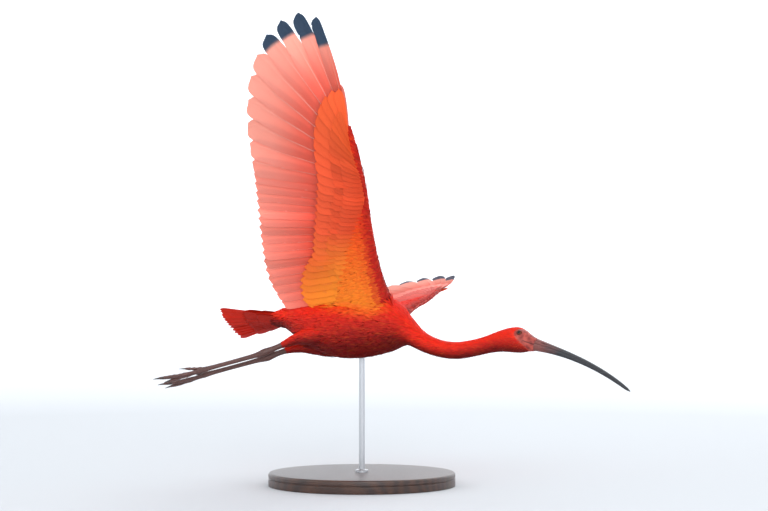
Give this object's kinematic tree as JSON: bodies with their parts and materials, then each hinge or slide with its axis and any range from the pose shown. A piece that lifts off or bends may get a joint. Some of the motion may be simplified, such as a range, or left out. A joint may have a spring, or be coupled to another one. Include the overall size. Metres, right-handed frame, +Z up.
{
  "type": "scarlet ibis model",
  "caption": "Life-size scarlet ibis in banked flight with raised wings, trailing legs and outstretched neck, on a round base with one rod.",
  "frame": {"origin": "centre of the underside of the round base, under the rod", "axes": "+X the way the bird heads, +Y to the bird's left, +Z up"},
  "size_m": [0.6554, 0.6099, 0.6153],
  "materials": {
    "body_feathers": "soft scarlet body feathers, matte with a faint silky sheen",
    "flight_feathers": "orange-scarlet flight and tail feathers, paler towards the tips, outer primaries tipped blue-black",
    "bare_skin": "dull pinkish red scaled skin of the legs and face",
    "bill": "horn, blackish with a reddish base, satin",
    "claw": "dark horn, satin",
    "eye": "dark brown, wet gloss",
    "base_wood": "dark stained and waxed hardwood",
    "rod_steel": "brushed steel rod"
  },
  "bodies": {
    "root": {"torso": "body_feathers", "neck": "body_feathers", "head": "body_feathers", "bill_upper": "bill", "bill_lower": "bill", "tail": "flight_feathers", "eye_right": "eye", "wing_inner_right": "flight_feathers", "wing_outer_right": "flight_feathers", "shank_right": "body_feathers", "tarsus_right": "bare_skin", "foot_right": "bare_skin", "claw_right_1": "claw", "claw_right_2": "claw", "claw_right_3": "claw", "claw_right_4": "claw", "eye_left": "eye", "wing_inner_left": "flight_feathers", "wing_outer_left": "flight_feathers", "shank_left": "body_feathers", "tarsus_left": "bare_skin", "foot_left": "bare_skin", "claw_left_1": "claw", "claw_left_2": "claw", "claw_left_3": "claw", "claw_left_4": "claw", "stand_base": "base_wood", "stand_rod": "rod_steel"}
  },
  "joints": []
}
